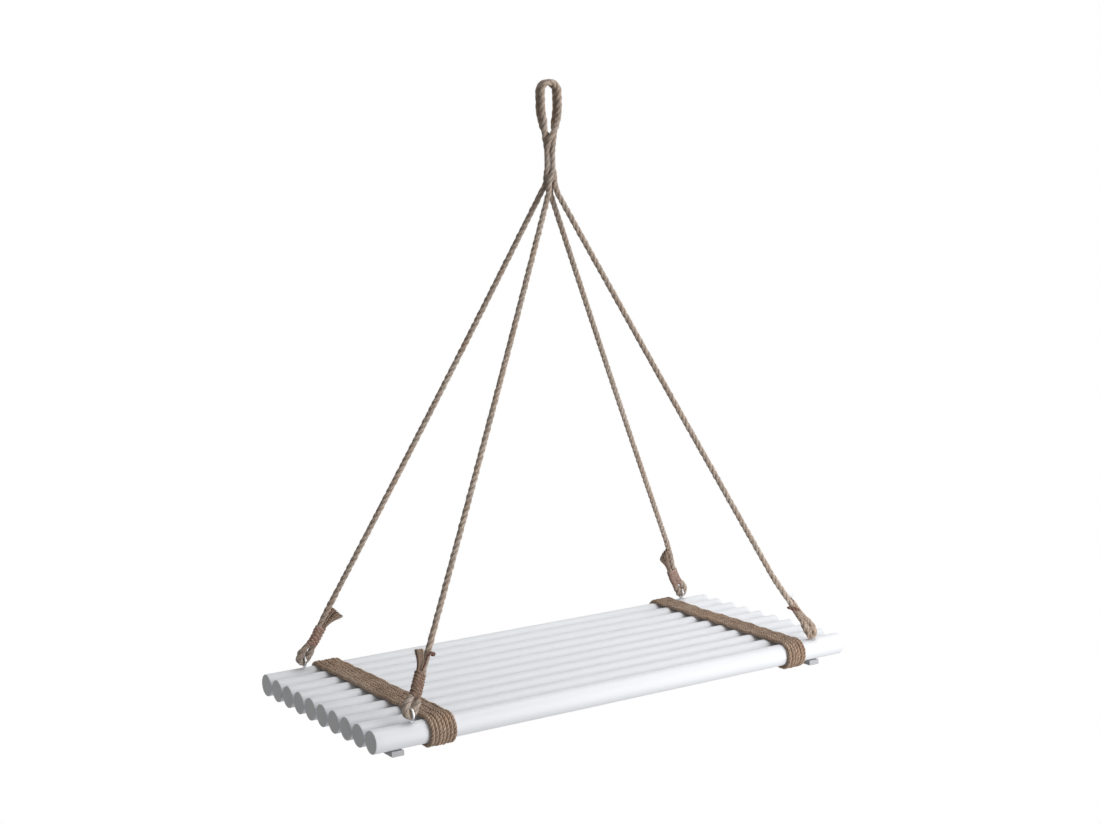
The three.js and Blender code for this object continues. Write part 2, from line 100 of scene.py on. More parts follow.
# Each corner's rope, in millimetres: where it leaves the knuckle (x, y), and in the frame of the
# leg at its eye the middle of the doubled rope at PAIR_HEIGHTS over the wire, half the distance
# of its two sides at APART_HEIGHTS, how low it hangs in the eye, how much fuller the rope is
# there (share), the leg above it at LEG_HEIGHTS, how far the leg bows inwards, the roll of the
# tail to the front (degrees), and the tip (up, across, front) and half the cut edge (up, across)
# of the tail's brush. The side and depth of a corner are -1 or 1, and so is the way along X to
# its tail.
PAIR_HEIGHTS = (3, 13, 24, 40)
APART_HEIGHTS = (-2, 5, 13, 24)
LEG_HEIGHTS = (62, 90)
BOUND_UP_TO = 44  # height at which the drawn tail ends
STRAIGHT_FROM = 90  # height from which the leg no longer follows its tail
corners = {
    "front_left": {
        "side": -1, "depth": -1, "tail": -1, "leaves": (-6.1, -5.0), "roll": 12,
        "pair": (0, -2.2, -1.8, -1.3), "apart": (5.6, 6.0, 4.8, 3.4), "hangs": 6.6,
        "full": 0.24, "bow": 1.6, "leg": (-3.6, -3.2), "tip": (67, 10.4, 3), "cut": (-2.2, 5.2),
    },
    "back_left": {
        "side": -1, "depth": 1, "tail": 1, "leaves": (-11.0, 6.0), "roll": 4,
        "pair": (0.3, 1.5, 3.4, 3.4), "apart": (5.5, 5.9, 4.6, 3.1), "hangs": 6.6,
        "full": 0.24, "bow": 2.3, "leg": (0, 0), "tip": (69, 15.3, 1), "cut": (-3.7, 10.5),
    },
    "front_right": {
        "side": 1, "depth": -1, "tail": 1, "leaves": (8.1, -3.5), "roll": -20,
        "pair": (-3, -4, -5.5, -7), "apart": (4.9, 4.5, 3.3, 2.6), "hangs": 8.6,
        "full": 0.28, "bow": 0.9, "leg": (-10.5, -12), "tip": (50, -5.5, -1), "cut": (-2, 1.6),
    },
    "back_right": {
        "side": 1, "depth": 1, "tail": -1, "leaves": (3.5, 6.1), "roll": 8,
        "pair": (0.5, 3.0, 4.8, 5), "apart": (5.2, 5.4, 4.8, 3.8), "hangs": 6.8,
        "full": 0.3, "bow": 1.5, "leg": (-0.5, -1.6), "tip": (75, 10, 2.5), "cut": (-5, 8.8),
    },
}


def smooth(t):
    """Rises from 0 to 1 with level ends: 3 t squared less 2 t cubed, between 0 and 1."""
    t = np.clip(t, 0, 1)
    return t * t * (3 - 2 * t)


def unit(v):
    """The same directions, each of length 1."""
    return v / np.linalg.norm(v, axis=-1, keepdims=True)


def lengths_along(line):
    """How far each point of a line lies from its start, measured along it."""
    return np.concatenate([[0], np.cumsum(np.linalg.norm(np.diff(line, axis=0), axis=1))])


def spaced(line, step):
    """The line again with its points an equal distance apart."""
    along = lengths_along(line)
    at = np.linspace(0, along[-1], int(along[-1] / step) + 2)
    return np.stack([np.interp(at, along, line[:, k]) for k in range(3)], 1)


def eased(line, reach):
    """The line with its corners rounded: each point is the mean of its neighbours within reach
    points, weighted by a cosine bell, and the two ends stay where they are."""
    bell = 1 + np.cos(np.linspace(-np.pi, np.pi, 2 * reach + 3)[1:-1])
    bell /= bell.sum()
    start = 2 * line[0] - line[reach:0:-1]
    end = 2 * line[-1] - line[-2 : -reach - 2 : -1]
    long = np.concatenate([start, line, end])
    return np.stack([np.convolve(long[:, k], bell, "valid") for k in range(3)], 1)


def tightness(z):
    """0 in the loop, 1 in the narrow neck and 0.45 in the knuckle, at heights z."""
    return smooth((-52 * MM - z) / (26 * MM)) * (1 - 0.55 * smooth((-100 * MM - z) / (12 * MM)))


def strand_run(side, depth, z):
    """Middle line of the rope part that ends at one corner, at heights z. It lies at (-side w,
    -depth d): d shrinks in the neck, w falls as a cosine from the loop's radius to d while the
    loop closes, and the place turns about the neck's axis in two smooth steps."""
    closing = np.clip((WIDEST - z) / (WIDEST - CLOSED), 0, 1)
    near = SIDE_BY_SIDE + (SQUEEZED - SIDE_BY_SIDE) * tightness(z)
    width = near + (LOOP_RADIUS - near) * (1 + np.cos(np.pi * closing)) / 2
    turn = NECK_TURN * smooth((NECK_TOP - z) / (NECK_TOP - NECK_END))
    turn = turn + KNUCKLE_TURN * smooth((KNUCKLE_TOP - z) / (KNUCKLE_TOP - KNUCKLE_END))
    x, y = -side * width, -depth * near
    turned_x = x * np.cos(turn) + y * np.sin(turn)
    turned_y = y * np.cos(turn) - x * np.sin(turn)
    return np.stack([turned_x, turned_y, z], 1)


def eye_place(name):
    """The middle of an eye's ring, and the height of its shank's point."""
    low, high = (np.array(c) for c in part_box("screw_eye_" + name))
    return np.array([*((low + high) / 2)[:2], high[2] - EYE_TOP]), low[2]


def leg_frame(name):
    """Where a leg meets its eye: the middle of the wire that it hangs on, the direction up the
    leg, the direction across from the leg to its tail, and the direction to the front."""
    eye, _ = eye_place(name)
    top = np.array([*(np.array(corners[name]["leaves"]) * MM), LEGS_SPREAD])
    wire = eye + unit((top - eye) * [0, 1, 1]) * EYE_TOP_WIRE
    up = unit(top - wire)
    tail = corners[name]["tail"]
    across = unit(np.array([tail, 0, 0]) - tail * up[0] * up)
    return wire, up, across, np.cross(across, up) * tail


def height_over(name, line):
    """How far each point of a line lies up a corner's leg from its eye's wire."""
    wire, up, _, _ = leg_frame(name)
    return (line - wire) @ up


def beside(name, height, offset, front=0.0):
    """Points in a leg's own frame: height up the leg from the wire, offset across to the tail
    and so far to the front."""
    wire, up, across, forward = leg_frame(name)
    height, offset, front = np.broadcast_arrays(np.atleast_1d(height), offset, front)
    return wire + height[:, None] * up + offset[:, None] * across + front[:, None] * forward


def pair_middle(name, height):
    """The middle of a leg and its tail at heights over the wire, and how far the pair has rolled
    to the front there: the whole roll comes in one smooth step between 8 and 38 mm."""
    corner = corners[name]
    middle = np.interp(height, np.array(PAIR_HEIGHTS) * MM, np.array(corner["pair"]) * MM)
    return middle, math.radians(corner["roll"]) * smooth((height - 8 * MM) / (30 * MM))


def doubled(name, height, way):
    """Middle line of the leg (way -1) or its tail (way 1) at heights over the wire. The two lie
    wide apart at the wire and close where they are bound, and the pair rolls as it rises."""
    middle, roll = pair_middle(name, height)
    half = np.interp(height, np.array(APART_HEIGHTS) * MM, np.array(corners[name]["apart"]) * MM)
    return middle + way * half * np.cos(roll), way * half * np.sin(roll)


def half_rope(name):
    """Middle line of a rope from the side of the loop down to one corner, through the eye and up
    to where its tail is bound: strand_run, a leg that bows inwards as a sine, the leg's last
    stretch, half an ellipse under the wire and the tail."""
    corner = corners[name]
    side, depth = corner["side"], corner["depth"]
    above = np.linspace(STRAIGHT_FROM, 50, 12) * MM
    down = np.linspace(BOUND_UP_TO, -2, 47) * MM
    turn = np.linspace(0, np.pi, 24)[1:-1]
    beside_pair, before_pair = doubled(name, BOUND_UP_TO * MM, -1)
    heights = np.array([BOUND_UP_TO, *LEG_HEIGHTS]) * MM
    leg = np.interp(above, heights, [beside_pair, *(np.array(corner["leg"]) * MM)])
    middle, half = corner["pair"][0] * MM, corner["apart"][0] * MM
    follows = smooth((STRAIGHT_FROM * MM - above) / ((STRAIGHT_FROM - BOUND_UP_TO) * MM))
    last = beside(name, above, leg, before_pair * follows)
    first = np.array([*(np.array(corner["leaves"]) * MM), LEGS_SPREAD])
    s = np.linspace(0, 1, 40, endpoint=False)[:, None]
    inwards = np.array([-side * corner["bow"] * MM, 0, 0])
    return np.concatenate([
        strand_run(side, depth, np.linspace(LOOP_MIDDLE, KNUCKLE_END, 180)),
        first + (last[0] - first) * s + inwards * np.sin(np.pi * s),
        last,
        beside(name, down, *doubled(name, down, -1)),
        beside(name, -2 * MM - corner["hangs"] * MM * np.sin(turn), middle - half * np.cos(turn)),
        beside(name, down[::-1], *doubled(name, down[::-1], 1)),
    ])


def tube(rings, ends, along):
    """A closed tube through rings of points that lie so far along it, with a fan about one more
    point at either end. Returns its points and two groups of faces, those of the side and of the
    fans, with (turns round, metres along) for each of their corners."""
    count, around = rings.shape[:2]
    i, j = np.meshgrid(np.arange(count - 1), np.arange(around), indexing="ij")
    i, j = i.ravel(), j.ravel()
    here, after, above = i * around, (j + 1) % around, (i + 1) * around
    quads = np.stack([here + j, here + after, above + after, above + j], 1)
    turns = np.stack([j, j + 1, j + 1, j], 1) / around
    far = np.stack([along[i], along[i], along[i + 1], along[i + 1]], 1)
    ring = np.arange(around)
    after = (ring + 1) % around
    last, tip = (count - 1) * around, np.full(around, count * around)
    fans = np.concatenate([
        np.stack([ring, tip, after], 1), np.stack([last + after, tip + 1, last + ring], 1),
    ])
    fan_turns = np.tile(np.stack([ring, ring + 0.5, ring + 1], 1) / around, (2, 1))
    fan_far = np.repeat([along[0], along[-1]], around)[:, None] + np.zeros((1, 3))
    points = np.concatenate([rings.reshape(-1, 3), ends])
    return points, [(quads, turns, far), (fans, fan_turns, fan_far)]


def sheath(line, reach, around, start=0.0, keep=slice(None)):
    """A closed tube round a line. At each point a ring of points is drawn square to the line, at
    reach(distance along, angle) from it; angle 0 points to +Y as nearly as the line allows. Only
    the rings in keep are made. A ring beyond them gives the end of a cut run the slope that the
    next run has there. Returns what tube does, and a normal for each point of the side."""
    ahead = unit(np.gradient(line, axis=0))
    first = unit(np.array([0, 1, 0]) - ahead[:, 1:2] * ahead)
    second = np.cross(ahead, first)
    along = start + lengths_along(line)
    angle = np.linspace(0, 2 * np.pi, around, endpoint=False)
    r = reach(along[:, None], angle[None])[..., None]
    cosine, sine = np.cos(angle)[None, :, None], np.sin(angle)[None, :, None]
    rings = line[:, None] + r * (cosine * first[:, None] + sine * second[:, None])
    round_it = np.roll(rings, -1, axis=1) - np.roll(rings, 1, axis=1)
    normals = unit(np.cross(round_it, np.gradient(rings, axis=0)))[keep].reshape(-1, 3)
    return *tube(rings[keep], line[keep][[0, -1]], along[keep]), normals


def piece(name, parts, finish):
    """One mesh object from any number of tubes, with its turns and metres kept as a UV map. The
    sides are smooth, with their own normals if they have some, and the ends are flat, so that no
    line shows where two runs of a rope meet."""
    points, faces, spots, flat, slopes, base = [], [], [], [], [], 0
    for own, groups, *normals in parts:
        points.append(own)
        for kind, (corner_sets, turns, far) in enumerate(groups):
            faces += (corner_sets + base).tolist()
            spots.append(np.stack([turns.ravel(), far.ravel()], 1))
            flat += [kind == 1] * len(corner_sets)
            if normals and kind == 0:
                slopes.append(normals[0][corner_sets.ravel()])
            else:
                slopes.append(np.zeros((corner_sets.size, 3)))
        base += len(own)
    mesh = bpy.data.meshes.new(name)
    mesh.from_pydata(np.concatenate(points).tolist(), [], faces)
    spots = np.concatenate(spots).astype(np.float32)
    mesh.uv_layers.new(name="along").data.foreach_set("uv", spots.ravel())
    mesh.polygons.foreach_set("use_smooth", ~np.array(flat))
    mesh.normals_split_custom_set(np.concatenate(slopes).tolist())
    mesh.materials.append(finish)
    made = bpy.data.objects.new(name, mesh)
    scene.collection.objects.link(made)
    return made


def laid(strands, middle, strand, lay, uneven=0.03, seed=1):
    """The reach of a laid rope: circles of radius strand stand at distance middle from its axis
    and turn once in each lay, and the surface is the outermost of them. A few slow waves make
    it uneven."""
    draws = np.random.default_rng(seed)
    waves = draws.uniform(0, 2 * np.pi, (4, 2))

    def reach(along, angle):
        third = 2 * np.pi / strands
        off = (angle - 2 * np.pi * along / lay + third / 2) % third - third / 2
        r = middle * np.cos(off) + np.sqrt(strand**2 - (middle * np.sin(off)) ** 2)
        for n, (a, b) in enumerate(waves):
            wave = uneven / 2 * np.sin((n + 1) * angle + a) * np.sin(along * (330 + 170 * n) + b)
            r = r * (1 + wave)
        return r

    return reach


class Shade:
    """A number that varies over a surface. Arithmetic on it adds the finish's own maths nodes."""

    def __init__(self, finish, socket):
        self.finish, self.socket = finish, socket

    def _maths(self, operation, a, b):
        return self.finish.node("ShaderNodeMath", {"operation": operation}, {0: a, 1: b})

    def __add__(self, other):
        return self._maths("ADD", self, other)

    def __sub__(self, other):
        return self._maths("SUBTRACT", self, other)

    def __mul__(self, other):
        return self._maths("MULTIPLY", self, other)

    def __truediv__(self, other):
        return self._maths("DIVIDE", self, other)

    def sine(self):
        return self._maths("SINE", self, 0)

    def cosine(self):
        return self._maths("COSINE", self, 0)

    def clear(self):
        """Kept between 0 and 1."""
        return self.finish.node("ShaderNodeClamp", {}, {0: self})


class Finish:
    """A material or a world that is put together from nodes."""

    def __init__(self, owner):
        self.owner = owner
        owner.use_nodes = True
        self.tree = owner.node_tree
        self.tree.nodes.clear()

    def node(self, kind, settings, inputs, out=0):
        """Adds one node, sets its settings first and then the values or links of its sockets."""
        made = self.tree.nodes.new(kind)
        for key, value in settings.items():
            if key == "stops":
                while len(made.color_ramp.elements) < len(value):
                    made.color_ramp.elements.new(0.5)
                for stop, (place, colour) in zip(made.color_ramp.elements, value):
                    stop.position, stop.color = place, (*colour, 1)
            else:
                setattr(made, key, value)
        for key, value in inputs.items():
            if isinstance(value, Shade):
                self.tree.links.new(value.socket, made.inputs[key])
            else:
                made.inputs[key].default_value = value
        return Shade(self, made.outputs[out] if made.outputs else None)

    def noise(self, where, scale, detail=3, roughness=0.55):
        """Cloudy values about 0.5."""
        inputs = {"Vector": where, "Scale": scale, "Detail": detail, "Roughness": roughness}
        return self.node("ShaderNodeTexNoise", {}, inputs)

    def mix(self, share, a, b):
        """One colour at share 0 and the other at share 1."""
        return self.node("ShaderNodeMix", {"data_type": "RGBA"}, {0: share, 6: a, 7: b}, out=2)

    def place(self, scale=(1, 1, 1)):
        """Object coordinates, stretched along each axis."""
        spot = self.node("ShaderNodeTexCoord", {}, {}, out=3)
        return self.node("ShaderNodeMapping", {}, {"Vector": spot, "Scale": scale})

    def show(self, sockets, height, depth):
        """Ends the finish with its surface, embossed so deep by height, and gives the material."""
        bump = {"Height": height, "Distance": depth, "Strength": 1.0}
        sockets = {**sockets, "Normal": self.node("ShaderNodeBump", {}, bump)}
        surface = self.node("ShaderNodeBsdfPrincipled", {}, sockets)
        self.node("ShaderNodeOutputMaterial", {}, {"Surface": surface})
        return self.owner


def jute(name, dark, middle, light, strands, lay, yarns, size, rough=0.9, depth=0.7):
    """Laid jute. Fine yarns run a little askew to the axis, fibres lie along them, the grooves
    between the strands are darkened with painted shade, paler and darker yarns and lengths come
    and go, and some places are redder. depth is how dark the painted shade in the grooves gets,
    as a share of the dark colour."""
    finish = Finish(bpy.data.materials.new(name))
    spot = finish.node("ShaderNodeUVMap", {"uv_map": "along"}, {})
    turns = finish.node("ShaderNodeSeparateXYZ", {}, {0: spot})
    along = Shade(finish, turns.socket.node.outputs[1])
    angle = turns * (2 * math.pi)
    across, back = angle.cosine(), angle.sine()

    def drawn(width, length):
        far = along / length
        return finish.node("ShaderNodeCombineXYZ", {}, {0: across * width, 1: back * width, 2: far})

    fibres = finish.noise(drawn(9, 4 * size), 3.2, 4, 0.7)
    threads = finish.noise(drawn(26, 6 * size), 3, 3, 0.65)
    tufts = finish.noise(drawn(2.2, 1.6 * size), 1.5, 3)
    patches = finish.noise(drawn(0.8, 9 * size), 1, 2)
    clouds = finish.noise(finish.place(), 34, 2)
    rust = finish.noise(finish.place((1, 1, 1.1)), 23, 2)
    swerve = (tufts - 0.5) * 2.5
    ridges = (angle * yarns + along * (2 * math.pi * 0.6 * yarns / lay) + swerve).sine()
    strand = (angle * strands - along * (2 * math.pi * strands / lay)).cosine()
    # painted shade: the grooves between the strands are darkened towards the dark colour times depth
    groove_shade = ((strand + 0.95) * 1.7 + (tufts - 0.5) * 1.4).clear()
    tone = (patches - 0.5) * 0.7 + (fibres - 0.5) * 1.1 + (tufts - 0.5) * 0.8 + ridges * 0.1
    tone = tone + (threads - 0.5) * 1.0 + (clouds - 0.5) * 0.6 + 0.5
    ramp = {"stops": [(0.12, dark), (0.5, middle), (0.88, light)]}
    colour = finish.node("ShaderNodeValToRGB", ramp, {0: tone})
    colour = finish.mix(groove_shade, (*(c * depth for c in dark), 1), colour)
    redden = {"data_type": "RGBA", "blend_type": "MULTIPLY"}
    parts = {0: ((rust - 0.42) * 3).clear(), 6: colour, 7: (1, 0.92, 0.85, 1)}
    colour = finish.node("ShaderNodeMix", redden, parts, out=2)
    height = ridges * 0.35 + (fibres - 0.5) * 1.4 + (threads - 0.5) * 0.7 + (tufts - 0.5) * 0.7
    sockets = {
        "Base Color": colour, "Roughness": rough, "Diffuse Roughness": 1.0,
        "Specular IOR Level": 0.2, "Sheen Weight": 0.25, "Sheen Roughness": 0.5,
        "Sheen Tint": (0.95, 0.86, 0.76, 1),
    }
    return finish.show(sockets, height, 0.12 * size)


rope_jute = jute(
    "rope_jute", (0.455, 0.365, 0.30), (0.67, 0.565, 0.48), (0.83, 0.74, 0.645),
    3, ROPE_LAY, 12, ROPE_RADIUS, depth=0.95,
)

# the corners where the left and the right half of each bight end, half a turn on, and the seed
# of the rope's unevenness
bights = {"front": ("back_right", "back_left", 5), "back": ("front_right", "front_left", 4)}
CUT_HEIGHTS = (-30 * MM, -86.5 * MM)
JOIN_HEIGHT = 58 * MM  # up a leg from its eye, where the doubled end begins
legs, leg_lines, side_strands, rope_ends = {}, {}, {}, {}


def slimmed(reach, line, name, start):
    """The reach of a rope that is squeezed in the neck and where it is bound to its tail, and
    that opens a little where it bends through its eye."""
    climb = height_over(name, line)
    held = smooth((climb - 8 * MM) / (12 * MM)) * smooth((60 * MM - climb) / (14 * MM))
    bent = smooth((14 * MM - climb) / (12 * MM))
    in_neck = tightness(line[:, 2]) * (climb > STRAIGHT_FROM * MM)
    share = 1 - SQUEEZE * in_neck - SQUEEZE * held + corners[name]["full"] * bent
    far = start + lengths_along(line)
    return lambda along, angle: reach(along, angle) * np.interp(along[:, 0], far, share)[:, None]


def cut_out(line, far, low, high, reach, name=None):
    """The sheath of a rope from point low to point high of its line, slimmed if it belongs to a
    corner."""
    first = max(low - 1, 0)
    wider = line[first : min(high + 2, len(line))]
    own = slimmed(reach, wider, name, far[first]) if name else reach
    return sheath(wider, own, ROPE_SIDES, far[first], slice(low - first, high + 1 - first))


for bight, (left_end, right_end, seed) in bights.items():
    halves = [eased(spaced(half_rope(name), RING), 4) for name in (left_end, right_end)]
    swing = np.linspace(np.pi, 0, 60)[1:-1]
    x, z = LOOP_RADIUS * np.cos(swing), LOOP_MIDDLE + LOOP_RADIUS * np.sin(swing)
    crown = np.stack([x, np.full(len(x), halves[0][0, 1]), z], 1)
    line = spaced(np.concatenate([halves[0][::-1], crown, halves[1]]), RING)
    far = lengths_along(line)
    middle = int(np.argmax(line[:, 2]))
    reach = laid(3, STRAND_OFFSET, STRAND_RADIUS, ROPE_LAY, ROPE_UNEVEN, seed)
    tops = []
    for step, name in ((-1, left_end), (1, right_end)):
        own = np.arange(middle, len(line)) if step > 0 else np.arange(middle, -1, -1)
        cuts = [own[int(np.argmax(line[own, 2] < height))] for height in CUT_HEIGHTS]
        cuts.append(own[int(np.argmax(height_over(name, line[own]) < JOIN_HEIGHT))])
        tops.append(cuts[0])
        for kind, *between in (
            ("strand_", cuts[0], cuts[1]), ("leg_", cuts[1], cuts[2]), ("rope_end_", cuts[2], own[-1]),
        ):
            low, high = sorted(between)
            part = cut_out(line, far, low, high, reach, name)
            made = piece(kind + name, [part], rope_jute)
            if kind == "strand_":
                side_strands[name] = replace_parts(made, "loop_strand_" + name, "neck_strand_" + name)
                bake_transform(made)
            elif kind == "leg_":
                legs[name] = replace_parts(made, "rope_leg_" + name)
                leg_lines[name] = line[low : high + 1][::step]
                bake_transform(made)
            else:
                rope_ends[name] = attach(made, "cradle")
    part = cut_out(line, far, *tops, reach)
    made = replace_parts(piece("bight_" + bight, [part], rope_jute), "rope_bight_" + bight)
    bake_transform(made)

# At the front right the rope goes round its eye once more, so that a round turn hides the wire:
# a flat spiral that closes in from 5.2 to 3.4 mm and comes 2 mm forward on the way.
SPIRAL_TURNS, SPIRAL_START = 1.35, -0.05
wire, _, across, _ = leg_frame("front_right")
middle = wire - 7.5 * MM * np.array([0, 0, 1]) - 1.0 * MM * across
outwards = unit(np.array([-0.35, -0.93, 0.1]))
level_way = unit(np.cross([0, 0, 1], outwards))
upright = np.cross(outwards, level_way)
t = np.linspace(0, 1, 60)[:, None]
turned = 2 * np.pi * (SPIRAL_TURNS * t + SPIRAL_START)
reach_out = (5.2 - 1.8 * t) * MM
spiral = middle + reach_out * (np.cos(turned) * level_way + np.sin(turned) * upright)
spiral = spaced(spiral + (4.2 + 2 * t) * MM * outwards, RING)
spiral_length = lengths_along(spiral)[-1]
turn_reach = laid(3, STRAND_OFFSET, STRAND_RADIUS, ROPE_LAY, ROPE_UNEVEN, 9)


def rounded_off(along, angle):
    """The round turn's reach, which falls as a square root in the last 4 mm at either end."""
    to_end = np.minimum(along, spiral_length - along)
    return turn_reach(along, angle) * np.sqrt(np.clip(to_end / (4 * MM), 0.1, 1))


round_turn = piece("round_turn", [sheath(spiral, rounded_off, ROPE_SIDES)], rope_jute)
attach(round_turn, "cradle")


# Brushes and fuzz. Above its binding each tail has come apart into its yarns, which lie side by
# side up to a blunt cut and open a little on the way, and short fibres stand out of the jute.
def tubes(paths, width, sides, seed):
    """Many thin tubes at once: paths[i] is the middle line of tube i and width[i] its radius at
    each point. All corners of a tube get nearly the same place in the UV map, so each tube has
    one tone of its own."""
    draws = np.random.default_rng(seed)
    count, steps = paths.shape[:2]
    ways = unit(np.gradient(paths, axis=1))
    first = unit(np.cross(ways, draws.normal(0, 1, (count, 1, 3))))
    second = np.cross(ways, first)
    angle = np.linspace(0, 2 * np.pi, sides, endpoint=False)[:, None]
    ring = np.cos(angle) * first[:, :, None] + np.sin(angle) * second[:, :, None]
    points = (paths[:, :, None] + width[..., None, None] * ring).reshape(-1, 3)
    own = np.arange(count)[:, None, None] * (steps * sides)
    here, j = own + np.arange(steps - 1)[None, :, None] * sides, np.arange(sides)[None, None]
    after, above = (j + 1) % sides, here + sides
    quads = np.stack([here + j, here + after, above + after, above + j], 3).reshape(-1, 4)
    start = np.arange(count)[:, None] * (steps * sides)
    last = start + (steps - 1) * sides
    closed = np.concatenate([start + np.arange(sides)[::-1], last + np.arange(sides)])
    far, turn = draws.uniform(0, 1, (2, count, 1))
    quad_far = np.repeat(far, (steps - 1) * sides, 0) + np.array([[0, 0, 1, 1]]) * 0.001
    quad_turn = np.repeat(turn, (steps - 1) * sides, 0) + np.array([[0, 1, 1, 0]]) * 0.02
    ends = np.tile(turn, (2, sides)), np.tile(far, (2, sides))
    return points, [(quads, quad_turn, quad_far), (closed, *ends)]


def hairs(roots, ways, length, radius, curl, seed):
    """Thin fibres that taper to a tenth. Fibre i runs from roots[i] along ways[i] and bends off
    with the square of the way along it."""
    draws = np.random.default_rng(seed)
    t = np.linspace(0, 1, 5)[None, :, None]
    bend = draws.normal(0, curl, (len(roots), 1, 3))
    paths = roots[:, None] + length[:, None, None] * (ways[:, None] * t + bend * t**2)
    return tubes(paths, radius[:, None] * (1 - 0.9 * t[..., 0]), 3, seed)


frayed_jute = jute(
    "frayed_jute", (0.31, 0.215, 0.16), (0.59, 0.455, 0.36), (0.78, 0.65, 0.54),
    3, ROPE_LAY, 12, ROPE_RADIUS, depth=0.95,
)
GOLDEN_ANGLE = math.pi * (3 - math.sqrt(5))  # between yarn and yarn, so that they fill the round
BRUSH_YARNS, LOOSE_FIBRES, BRUSH_STEPS = 96, 90, 10
BRUSH_FOOT = 38 * MM  # up the leg from the wire
BRUSH_RADIUS = 2.8  # at its foot, in millimetres

for name, corner in corners.items():
    draws = np.random.default_rng(11 + corner["side"] + 3 * corner["depth"])
    _, up, across, forward = leg_frame(name)
    foot = beside(name, BRUSH_FOOT, *doubled(name, BRUSH_FOOT, 1))[0]
    tip = beside(name, *(np.array(corner["tip"]) * MM))[0]
    cut_up, cut_across = corner["cut"]
    edge = (cut_up * up + cut_across * across) * MM
    each = (BRUSH_YARNS, 1, 1)
    number = np.arange(BRUSH_YARNS)[:, None, None]
    far_out = np.sqrt((number + 0.5) / BRUSH_YARNS) * draws.uniform(0.92, 1, each)
    turn = number * GOLDEN_ANGLE
    sideways, outwards = far_out * np.cos(turn), far_out * np.sin(turn)
    t = np.linspace(0, 1, BRUSH_STEPS)[None, :, None] * draws.uniform(0.93, 1.03, each)
    rise = foot + up * ((tip - foot) @ up) * 0.7
    middle = (1 - t) ** 2 * foot + 2 * t * (1 - t) * rise + t**2 * tip
    open_out = smooth(t * 1.05) ** 1.2
    across_part = sideways * (BRUSH_RADIUS * MM * (1 - open_out) * across + open_out * edge)
    wider = (abs(cut_across) - BRUSH_RADIUS) * 0.25
    forward_part = outwards * forward * MM * (BRUSH_RADIUS + wider * open_out)
    wave = draws.normal(0, 0.35, (BRUSH_YARNS, 1, 3)) * MM
    wave = wave * np.sin(3 * t + 6 * draws.uniform(0, 1, each))
    paths = middle + across_part + forward_part + wave * open_out
    width = draws.uniform(0.4, 0.66, (BRUSH_YARNS, 1)) * MM * np.ones(BRUSH_STEPS)
    yarns = tubes(paths, width, 7, 3 + corner["side"])
    pick = draws.integers(0, BRUSH_YARNS, LOOSE_FIBRES)
    roots, onwards = paths[pick, 6], unit(paths[pick, 9] - paths[pick, 6])
    ways = unit(onwards + draws.normal(0, 0.35, (LOOSE_FIBRES, 3)))
    length = draws.uniform(5, 10, LOOSE_FIBRES) * MM
    radius = draws.uniform(0.1, 0.18, LOOSE_FIBRES) * MM
    loose = hairs(roots, ways, length, radius, 0.3, 9 + corner["side"])
    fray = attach(piece("fray_" + name, [yarns, loose], frayed_jute), "cradle")
    rope_ends[name] = (rope_ends[name], fray)


def fuzz(name, lines, finish, every, stand, off, seed):
    """Short fibres that stand out of ropes on the cradle, one in so many metres, at random places
    round them and that far off their middle. Above FUZZ_TOP there are none, since ropes bend and
    twist there."""
    draws = np.random.default_rng(seed)
    roots, ways = [], []
    for line in lines:
        inside = line[line[:, 2] < FUZZ_TOP]
        count = int(len(inside) * RING / every)
        at = draws.integers(1, len(inside) - 1, count)
        run = unit(inside[at + 1] - inside[at - 1])
        out = unit(np.cross(run, draws.normal(0, 1, (count, 3))))
        roots.append(inside[at] + out * off)
        ways.append(unit(out + run * draws.normal(0, 0.8, (count, 1))))
    roots, ways = np.concatenate(roots), np.concatenate(ways)
    length = draws.uniform(0.3, 1, len(roots)) * stand
    radius = draws.uniform(0.05, 0.1, len(roots)) * MM
    fibres = hairs(roots, ways, length, radius, 0.35, 5)
    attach(piece(name, [fibres], finish), "cradle")


FUZZ_TOP = -130 * MM
fuzz("fuzz_legs", leg_lines.values(), rope_jute, 1.1 * MM, 4.5 * MM, 3.2 * MM, 9)


# Whippings and seizing. Soft reddish yarn binds each tail to its leg in a few fat turns, pulled
# so tight that they sink into the ropes, and rope-coloured cord binds the knuckle.
YARN_LAY = 13 * MM
YARN_END_LAY = 9 * MM
YARN_SIDES = 14

yarn_jute = jute(
    "yarn_jute", (0.38, 0.235, 0.19), (0.60, 0.425, 0.355), (0.78, 0.62, 0.54),
    2, YARN_LAY, 6, 2.2 * MM, 0.85, 1.0,
)
yarn_brown = jute(
    "yarn_brown", (0.22, 0.135, 0.10), (0.44, 0.315, 0.245), (0.64, 0.50, 0.41),
    2, YARN_LAY, 6, 1.9 * MM, 0.85, 1.0,
)
yarn_pale = jute(
    "yarn_pale", (0.32, 0.235, 0.18), (0.555, 0.435, 0.345), (0.75, 0.635, 0.53),
    2, YARN_LAY, 6, 1.8 * MM, 0.88, 1.0,
)
yarn_dark = jute(
    "yarn_dark", (0.15, 0.07, 0.055), (0.28, 0.155, 0.125), (0.45, 0.31, 0.26),
    2, YARN_END_LAY, 5, 2 * MM, 0.8,
)
yarn_of = {
    "front_left": yarn_brown, "back_left": yarn_jute, "front_right": yarn_pale,
    "back_right": yarn_jute,
}


